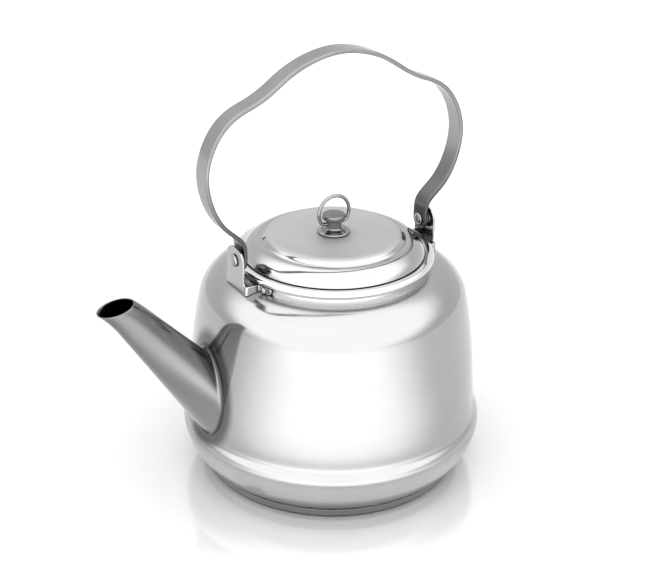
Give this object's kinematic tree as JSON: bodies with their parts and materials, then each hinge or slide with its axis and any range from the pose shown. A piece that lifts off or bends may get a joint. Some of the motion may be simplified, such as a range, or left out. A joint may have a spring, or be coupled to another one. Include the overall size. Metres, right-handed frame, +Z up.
{
  "type": "stovetop kettle",
  "caption": "Round stovetop kettle of sheet steel with a bulged foot, slanted tapered spout, lift-off lid with a ring knob, and a bent strap handle that folds down on riveted ears.",
  "frame": {"origin": "centre of the flat underside of the base, where the kettle stands", "axes": "+Z up along the kettle's axis, -X along the spout, Y across; the handle stands in the XZ plane"},
  "size_m": [0.2646, 0.2, 0.2855],
  "materials": {
    "body_steel": "smooth satin to bright polish, sheet steel",
    "base_steel": "satin, slightly darker foot",
    "neck_steel": "bright polish",
    "spout_steel": "bright polish",
    "ear_steel": "satin pressed plate",
    "rivet_steel": "satin, fine turned marks",
    "strap_steel": "satin, brushed along the strap",
    "lid_steel": "satin top with a bright polished rim",
    "skirt_steel": "satin",
    "knob_steel": "bright turned and drawn steel"
  },
  "bodies": {
    "kettle": {"body_shell": "body_steel", "base_pan": "base_steel", "neck_collar": "neck_steel", "spout_tube": "spout_steel", "front_ear": "ear_steel", "rear_ear": "ear_steel", "front_wing_rivet_left": "rivet_steel", "front_wing_rivet_right": "rivet_steel", "rear_wing_rivet_left": "rivet_steel", "rear_wing_rivet_right": "rivet_steel", "front_pivot_rivet": "rivet_steel", "rear_pivot_rivet": "rivet_steel", "front_pivot_washer": "rivet_steel", "rear_pivot_washer": "rivet_steel"},
    "handle": {"handle_strap": "strap_steel"},
    "lid": {"lid_cap": "lid_steel", "lid_skirt": "skirt_steel", "knob_spool": "knob_steel", "knob_screw": "rivet_steel", "knob_washer": "rivet_steel"},
    "ring": {"lid_ring": "knob_steel"}
  },
  "joints": [
    {"name": "handle_fold", "type": "hinge", "parent": "kettle", "child": "handle", "pos_m": [0, 0, 0.1586], "axis": [1, 0, 0], "range_deg": [-100, 100]},
    {"name": "lid_lift", "type": "slide", "parent": "kettle", "child": "lid", "axis": [0, 0, 1], "range_m": [0, 0.06]},
    {"name": "ring_swing", "type": "hinge", "parent": "lid", "child": "ring", "pos_m": [0, 0, 0.1693], "axis": [1, 0, 0], "range_deg": [-104, 104]}
  ]
}
